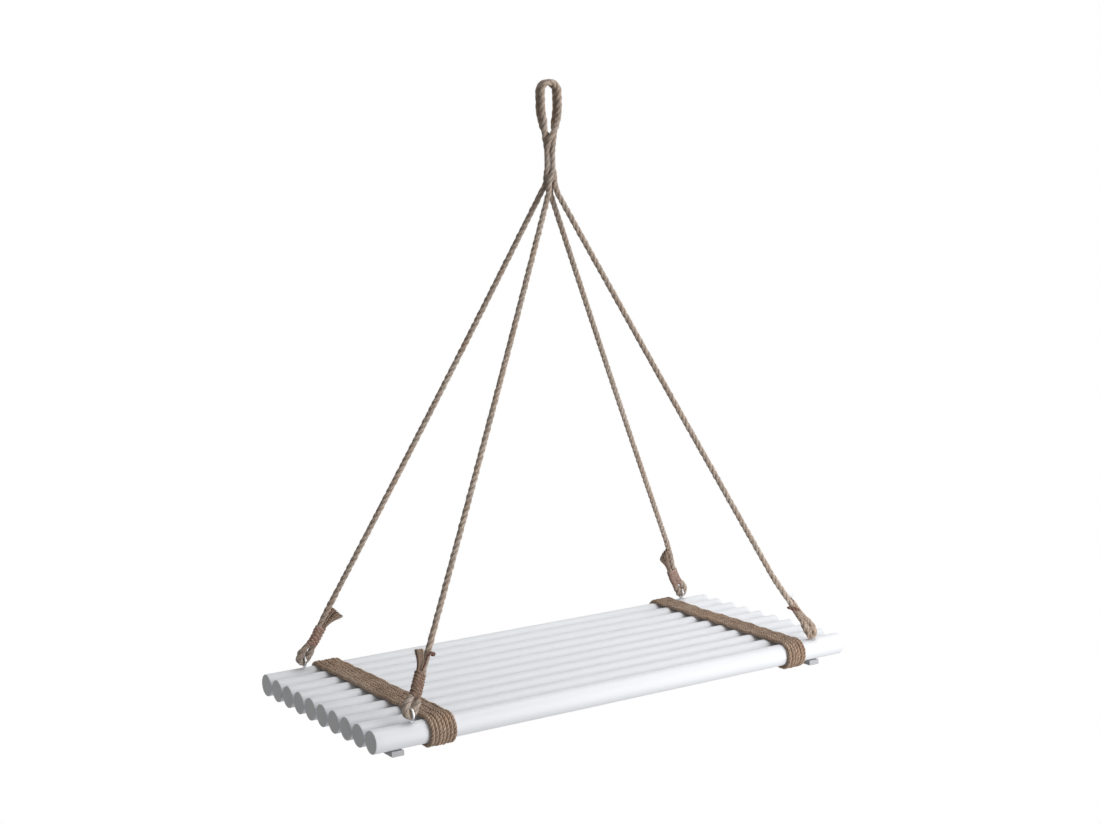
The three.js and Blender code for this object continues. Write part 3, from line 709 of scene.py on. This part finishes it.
def round_pair(t, half, radius):
    """The way round two ropes that lie side by side, t in turns: two half circles of that
    radius about points half to each side, joined by straights."""
    arc, flat = np.pi * radius, 2 * half
    far = (t % 1) * (2 * arc + 2 * flat)
    stage = np.searchsorted([flat / 2, flat / 2 + arc, 1.5 * flat + arc, 1.5 * flat + 2 * arc], far)
    right_turn = (far - flat / 2) / radius - np.pi / 2
    left_turn = (far - 1.5 * flat - arc) / radius + np.pi / 2
    x = np.choose(stage, [
        far, half + radius * np.cos(right_turn), half - (far - flat / 2 - arc),
        radius * np.cos(left_turn) - half, far - 2 * flat - 2 * arc,
    ])
    y = np.choose(stage, [
        -radius + 0 * far, radius * np.sin(right_turn), radius + 0 * far,
        radius * np.sin(left_turn), -radius + 0 * far,
    ])
    return x, y


# Each whipping: half the distance and the radius of the two half circles of its way round the
# squeezed ropes, the height of its first turn, its turns, pitch and yarn radius (millimetres)
bound = {
    "front_left": (3.4, 2.8, 14, 8, 3.6, 2.2),
    "back_left": (3.0, 2.4, 17, 6, 4.4, 2.55),
    "front_right": (2.5, 2.6, 9, 10, 3.3, 1.65),
    "back_right": (3.6, 2.8, 12, 7, 4.0, 2.35),
}
# the two bindings whose end stands out as a dark knob: its size at the start and at the end (in
# yarns), and its way in the leg's frame (up, across and front, in millimetres)
knobs = {
    "front_left": (0.8, 2.2, (
        (44, 1, 6), (54, -0.5, 7), (62, -1, 6.5), (67, -4, 5.5), (68, -8, 3.5), (66, -11.5, 2.5),
    )),
    "front_right": (1.8, 1.3, (
        (32, -7, 5), (35, -10, 6.2), (38, -13.5, 5), (42, -17, 3), (44, -19, 2),
    )),
}
whippings = {}
for name, corner in corners.items():
    draws = np.random.default_rng(40 + corner["side"] + 5 * corner["depth"])
    half, radius, low, turns, pitch, yarn = np.array(bound[name]) * [MM, MM, MM, 1, MM, MM]
    t = np.linspace(0, turns, 60 * int(turns))
    a, b = round_pair(t, half, radius)
    marks = np.arange(turns + 1)
    sway = np.interp(t, marks, draws.normal(0, 0.3, len(marks))) * MM
    height = low + t * pitch + sway + 0.25 * a
    middle, roll = pair_middle(name, height)
    turned_a = a * np.cos(roll) - b * np.sin(roll)
    turned_b = a * np.sin(roll) + b * np.cos(roll)
    line = eased(spaced(beside(name, height, middle + turned_a, turned_b), 0.5 * MM), 4)
    wound = sheath(line, laid(2, 0.15 * yarn, 0.85 * yarn, YARN_LAY, 0.12, 7), YARN_SIDES)
    made = piece("whipping_yarn_" + name, [wound], yarn_of[name])
    whippings[name] = [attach(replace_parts(made, "whipping_" + name), "cradle")]


def knob_reach(whole, near, far):
    """The reach of a laid yarn whose size goes smoothly from near to far in its second half, and
    falls as a square root in its last 2 mm."""
    yarn = laid(2, 0.4 * MM, 1.1 * MM, YARN_END_LAY, 0.15, 3)

    def reach(along, angle):
        size = near + (far - near) * smooth(along / whole * 2 - 1)
        return yarn(along, angle) * (size * np.sqrt(np.clip((whole - along) / (2 * MM), 0.05, 1)))

    return reach


for name, (near, far, way) in knobs.items():
    spots = np.concatenate([beside(name, *(np.array(spot) * MM)) for spot in way])
    line = eased(spaced(spots, 0.5 * MM), 5)
    part = sheath(line, knob_reach(lengths_along(line)[-1], near, far), YARN_SIDES)
    knob = piece("yarn_end_" + name, [part], yarn_dark)
    whippings[name].append(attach(knob, "cradle"))

# The seizing is a screw line about the neck, whose turns climb towards the front right.
SEIZING_TOP, SEIZING_TURNS, SEIZING_PITCH = -110 * MM, 4, 2.6 * MM
SEIZING_RADIUS = 7.2 * MM
SEIZING_SLOPE, SEIZING_WAY = 0.5, (0.838, -0.5457)
t = np.linspace(0, SEIZING_TURNS, 70 * SEIZING_TURNS)
x, y = np.cos(2 * np.pi * t), np.sin(2 * np.pi * t)
bundle = SEIZING_RADIUS * (1 + 0.05 * np.cos(8 * np.pi * t))
climb = SEIZING_SLOPE * bundle * (x * SEIZING_WAY[0] + y * SEIZING_WAY[1])
line = np.stack([bundle * x, bundle * y, SEIZING_TOP - t * SEIZING_PITCH + climb], 1)
wound = sheath(eased(spaced(line, 0.5 * MM), 4), laid(2, 0.6 * MM, 0.9 * MM, YARN_END_LAY), 12)
seizing = piece("seizing_yarn", [wound], rope_jute)
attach(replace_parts(seizing, "neck_seizing"), "cradle")

# The four legs hang taut between the neck and their eyes. The loop below goes over them and draws
# nothing.
for name, line in leg_lines.items():
    name == "front_right"


# Bands. Jute cord is wound tight round the whole deck near each end, seven turns on the left
# and six on the right. It lies flat over the dowels, goes round the two outer ones, and steps
# over to the next turn on the under side, where both ends are.
CORD_RADIUS = 2.25 * MM
CORD_LAY = 13 * MM
BAND_PITCH = 4.9 * MM
BAND_SAG = 1.1  # between two dowels, in millimetres
RIGHT_BAND_SLANT = math.radians(1.4)  # its back end lies nearer the dowels' ends
DOWEL_RADIUS = 14 * MM

band_jute = jute(
    "band_jute", (0.27, 0.18, 0.13), (0.58, 0.43, 0.325), (0.82, 0.665, 0.52),
    3, CORD_LAY, 9, CORD_RADIUS, depth=0.9,
)
front_dowel = (Vector(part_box("dowel_01")[0]) + Vector(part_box("dowel_01")[1])) / 2
back_dowel = (Vector(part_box("dowel_10")[0]) + Vector(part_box("dowel_10")[1])) / 2
DOWEL_PITCH = (back_dowel.y - front_dowel.y) / 9


def band_line(middle_x, turns, slant, seed):
    """Middle line of a wound cord: for t in turns it goes along the under side to the back, up
    round the back dowel, forward over the top and down round the front dowel. x moves on by a
    pitch while it crosses the under side, slow waves make the turns lie by hand, and the cord
    sags between the dowels as a cosine."""
    draws = np.random.default_rng(seed)
    radius = DOWEL_RADIUS + CORD_RADIUS + 0.35 * MM
    half = back_dowel.y
    flat, arc = 2 * half, np.pi * radius
    t = np.linspace(0, turns, turns * 620 + 1) + 0.5 * flat / (2 * flat + 2 * arc)
    far = (t % 1) * (2 * flat + 2 * arc)
    stage = np.searchsorted([flat, flat + arc, 2 * flat + arc], far)
    back, front = (far - flat) / radius - np.pi / 2, (far - 2 * flat - arc) / radius + np.pi / 2
    y = np.choose(stage, [
        far - half, half + radius * np.cos(back), half - (far - flat - arc),
        radius * np.cos(front) - half,
    ])
    z = np.choose(stage, [
        -radius + 0 * far, radius * np.sin(back), radius + 0 * far, radius * np.sin(front),
    ])
    turn = np.floor(t)
    stepped = turn + np.clip(far / flat, 0, 1)
    phase = draws.uniform(0, 6, 4)
    together = 0.5 * np.sin(y * 19 + phase[0]) + 0.35 * np.sin(y * 47 + phase[1])
    alone = 0.22 * np.sin(y * 60 + 2.4 * turn + phase[2]) + 0.2 * np.sin(y * 130 + 4 * turn)
    x = middle_x + BAND_PITCH * (stepped - (turns + 1) / 2) + (together + alone) * MM
    lift = 0.2 * (1 + np.sin(3.1 * turn + y * 35)) + 0.15 * np.sin(y * 90 + 5 * turn)
    between = (1 - np.cos(2 * np.pi * (y - front_dowel.y) / DOWEL_PITCH)) / 2
    sag = BAND_SAG * between * (np.abs(y) < half) * (np.abs(z) > 0.99 * radius)
    outer_z = front_dowel.z + z + np.sign(z) * (lift - sag) * MM
    return np.stack([x + y * math.tan(slant), y, outer_z], 1)


for name, turns, slant, fuzz_seed in (("left", 7, 0, 14), ("right", 6, RIGHT_BAND_SLANT, 15)):
    low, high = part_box("band_" + name)
    line = eased(spaced(band_line((low.x + high.x) / 2, turns, slant, turns), 1.25 * MM), 3)
    fuzz("fuzz_band_" + name, [line], band_jute, 2 * MM, 3 * MM, 2 * MM, fuzz_seed)
    reach = laid(3, 0.95 * MM, 1.85 * MM, CORD_LAY, 0.09, turns)
    made = piece("cord_band_" + name, [sheath(line, reach, 18)], band_jute)
    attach(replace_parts(made, "band_" + name), "cradle")


# Screw eyes. Each is one length of zinc-plated wire, bent into a ring whose end stops just
# short of its neck, with a shank that is screwed into the outer dowel.
WIRE_RADIUS = 1.25 * MM
RING_RADIUS = 7 * MM

zinc = Finish(bpy.data.materials.new("zinc_plate"))
drift = zinc.noise(zinc.place(), 260, 4)
specks = zinc.noise(zinc.place(), 1900, 2)
tarnish = ((drift - 0.5) * 3 + 0.5).clear()
zinc_plate = zinc.show(
    {
        "Base Color": zinc.mix(tarnish, (0.60, 0.62, 0.64, 1), (0.80, 0.81, 0.83, 1)),
        "Metallic": 1.0,
        "Roughness": tarnish * 0.14 + specks * 0.08 + 0.2,
    },
    specks * 0.5 + drift, 0.05 * MM,
)


def wire_reach(along, angle):
    """The wire's radius, which grows as a square root over the first 4 mm from its point."""
    grown = np.minimum(1, 0.25 + np.sqrt(np.clip(along / (4 * MM), 0, 1)))
    return WIRE_RADIUS * grown * np.ones_like(angle)


for name in corners:
    eye, point_height = eye_place(name)
    bend = np.linspace(-np.pi / 2, 1.38 * np.pi, 90)
    ring = np.stack([np.zeros(90), RING_RADIUS * np.cos(bend), RING_RADIUS * np.sin(bend)], 1)
    shank = np.zeros((30, 3))
    shank[:, 2] = np.linspace(point_height - eye[2], -RING_RADIUS - 1.2 * MM, 30)
    line = eased(spaced(np.concatenate([shank, ring]), 0.4 * MM), 3) + eye
    # sheath counts its angles from +Y, along which the ring lies, so the wire is turned a quarter
    # for it and turned back afterwards
    points, groups, _ = sheath(line[:, [1, 0, 2]] * [1, -1, 1], wire_reach, 16)
    part = (points[:, [1, 0, 2]] * [-1, 1, 1], groups)
    made = piece("eye_wire_" + name, [part], zinc_plate)
    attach(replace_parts(made, "screw_eye_" + name), "cradle")


# Dowels. Ten turned rods of light wood lie side by side as the deck, with their rims eased and
# a satin coat of white paint that lets a little of the grain and the turning marks through.
RIM = 0.9 * MM
DOWEL_STEPS, DOWEL_SIDES = 58, 96
DOWEL_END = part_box("dowel_01")[1].x  # the end faces there are painted grey, as painted shade that keeps them dark under the fill light

paint = Finish(bpy.data.materials.new("white_paint"))
grain = paint.noise(paint.place((6, 190, 190)), 1, 4, 0.6)
fine_grain = paint.noise(paint.place((30, 900, 900)), 1, 3, 0.6)
cloud = paint.noise(paint.place((3, 14, 14)), 1, 3)
peel = paint.noise(paint.place(), 420, 2)
dent_place = {"Vector": paint.place((55, 110, 110)), "Scale": 1.0}
dent = (paint.node("ShaderNodeTexVoronoi", {}, dent_place) * 9).clear()
coat = paint.mix((cloud * 1.6 - 0.3).clear(), (0.800, 0.816, 0.850, 1), (0.850, 0.862, 0.892, 1))
from_middle = paint.node("ShaderNodeVectorMath", {"operation": "ABSOLUTE"}, {0: paint.place()})
beyond = paint.node("ShaderNodeSeparateXYZ", {}, {0: from_middle})
pores = paint.noise(paint.place((1, 700, 700)), 1, 4, 0.7)
# painted shade: the end faces get a greyer coat than the sides, with real end-grain pores in it
shaded_end_coat = paint.mix((pores * 2 - 0.5).clear(), (0.66, 0.665, 0.68, 1), (0.735, 0.74, 0.755, 1))
# 1 on the end faces, for their painted shade and for the bump of their pores
end_grain_and_shade = ((beyond - (DOWEL_END - 0.4 * MM)) * 4000).clear()
white_paint = paint.show(
    {
        "Base Color": paint.mix(end_grain_and_shade, coat, shaded_end_coat),
        "Roughness": (cloud - 0.5) * 0.16 + (grain - 0.5) * 0.12 + 0.42,
        "Specular IOR Level": 0.4,
    },
    grain * 0.9 + fine_grain * 0.35 + peel * 0.3 + dent * 0.5 + pores * end_grain_and_shade, 0.11 * MM,
)


def turned_rod(low, high, seed):
    """A rod along X: its radius is full between two rims that fall away as quarter circles, and
    slow waves of a few hundredths of a millimetre run round and along it."""
    draws = np.random.default_rng(seed)
    length = high[0] - low[0]
    quarter = np.linspace(0, np.pi / 2, 7)
    face = (DOWEL_RADIUS - RIM) * np.array([0.33, 0.66, 0.97])
    rim_along, rim_radius = RIM * (1 - np.cos(quarter)), DOWEL_RADIUS - RIM * (1 - np.sin(quarter))
    along = np.concatenate([
        np.zeros(3), rim_along, np.linspace(RIM, length - RIM, DOWEL_STEPS + 2)[1:-1],
        length - rim_along[::-1], np.full(3, length),
    ])
    radius = np.concatenate([
        face, rim_radius, np.full(DOWEL_STEPS, DOWEL_RADIUS), rim_radius[::-1], face[::-1],
    ])
    phase = draws.uniform(0, 6, 3)
    angle = np.linspace(0, 2 * np.pi, DOWEL_SIDES, endpoint=False)[None]
    far, radius = along[:, None], radius[:, None]
    wave = 0.05 * MM * (np.sin(2 * angle + far * 9 + phase[0]) + np.sin(far * 31 + phase[1]))
    r = radius + wave * (radius > DOWEL_RADIUS - 0.5 * RIM)
    _, y, z = (np.array(low) + np.array(high)) / 2
    rings = np.stack([low[0] + far + 0 * angle, y + r * np.cos(angle), z + r * np.sin(angle)], 2)
    return tube(rings, [[low[0], y, z], [high[0], y, z]], along)


for number in range(1, 11):
    node = f"dowel_{number:02d}"
    low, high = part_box(node)
    made = piece("rod_" + node[-2:], [turned_rod(low, high, number)], white_paint)
    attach(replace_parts(made, node), "cradle")


# Battens and screws. Two strips with a greyer coat run under all dowels just outside the
# bands, and one countersunk zinc screw holds each dowel to each strip.
batten_coat = Finish(bpy.data.materials.new("thin_paint"))
streaks = batten_coat.noise(batten_coat.place((220, 14, 220)), 1, 4, 0.6)
blotches = batten_coat.noise(batten_coat.place(), 60, 3)
covered = ((blotches + streaks) * 1.2 - 0.7).clear()
# the battens get a grey coat, darker than the dowels' white
thin_paint = batten_coat.show(
    {
        "Base Color": batten_coat.mix(covered, (0.42, 0.42, 0.44, 1), (0.53, 0.53, 0.55, 1)),
        "Roughness": (streaks - 0.5) * 0.25 + 0.6,
    },
    streaks + blotches * 0.3, 0.08 * MM,
)
finishes = {"batten_": thin_paint, "screw_left_": zinc_plate, "screw_right_": zinc_plate}
for start, finish in finishes.items():
    for name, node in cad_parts.items():
        if name.startswith(start):
            node.data.materials.clear()
            node.data.materials.append(finish)


# Floor, lamps and air. The floor lies far below the hanging shelf and is white to the edge of
# sight. A tall soft lamp stands at the front right, a broad one hangs above, and the air adds a
# weak even light.
FLOOR_HEIGHT = -3.2
AIR_LIGHT = 0.215

floor_mesh = bpy.data.meshes.new("floor")
floor_mesh.from_pydata(
    [(x * 60, y * 60, FLOOR_HEIGHT) for x, y in ((-1, -1), (1, -1), (1, 1), (-1, 1))],
    [], [(0, 1, 2, 3)],
)
floor = bpy.data.objects.new("floor", floor_mesh)
scene.collection.objects.link(floor)


def seen_straight(finish):
    """1 where a ray comes from the camera, a glossy surface or glass, and 0 for all other light."""
    rays = finish.node("ShaderNodeLightPath", {}, {}).socket.node.outputs
    camera_ray, glossy, passed = (
        Shade(finish, rays[f"Is {kind} Ray"]) for kind in ("Camera", "Glossy", "Transmission")
    )
    return (camera_ray + glossy + passed).clear()


pale = Finish(bpy.data.materials.new("pale_floor"))
spot = pale.node("ShaderNodeVectorMath", {"operation": "LENGTH"}, {0: pale.place((1, 1, 0))}, out=1)
far_off = ((spot - 2) / 3).clear()
lit = pale.node("ShaderNodeBsdfDiffuse", {}, {"Color": (0.86, 0.86, 0.86, 1)})
bright = pale.node("ShaderNodeEmission", {}, {"Color": (1, 1, 1, 1), "Strength": 1.0})
share = seen_straight(pale) * (far_off * 0.3 + 0.7)
blended = pale.node("ShaderNodeMixShader", {}, {0: share, 1: lit, 2: bright})
pale.node("ShaderNodeOutputMaterial", {}, {"Surface": blended})
floor_mesh.materials.append(pale.owner)

scene.world = bpy.data.worlds.new("air")
air = Finish(scene.world)
strength = seen_straight(air) * (1 - AIR_LIGHT) + AIR_LIGHT
glow = air.node("ShaderNodeBackground", {}, {"Color": (1, 1, 1, 1), "Strength": strength})
air.node("ShaderNodeOutputWorld", {}, {"Surface": glow})


def lamp(name, place, aim, wide, tall, power):
    """An upright soft lamp that faces a point."""
    data = bpy.data.lights.new(name, "AREA")
    data.shape, data.size, data.size_y, data.energy = "RECTANGLE", wide, tall, power
    made = bpy.data.objects.new(name, data)
    scene.collection.objects.link(made)
    made.location = place
    made.rotation_euler = (Vector(aim) - Vector(place)).to_track_quat("-Z", "Y").to_euler()


lamp("key", (0.75, -1.55, -0.75), (0.05, 0, -0.7), 1.2, 2.2, 29.5)
lamp("top", (0.75, 0.0, 1.1), (0.1, 0, -0.7), 1.6, 1.6, 24)
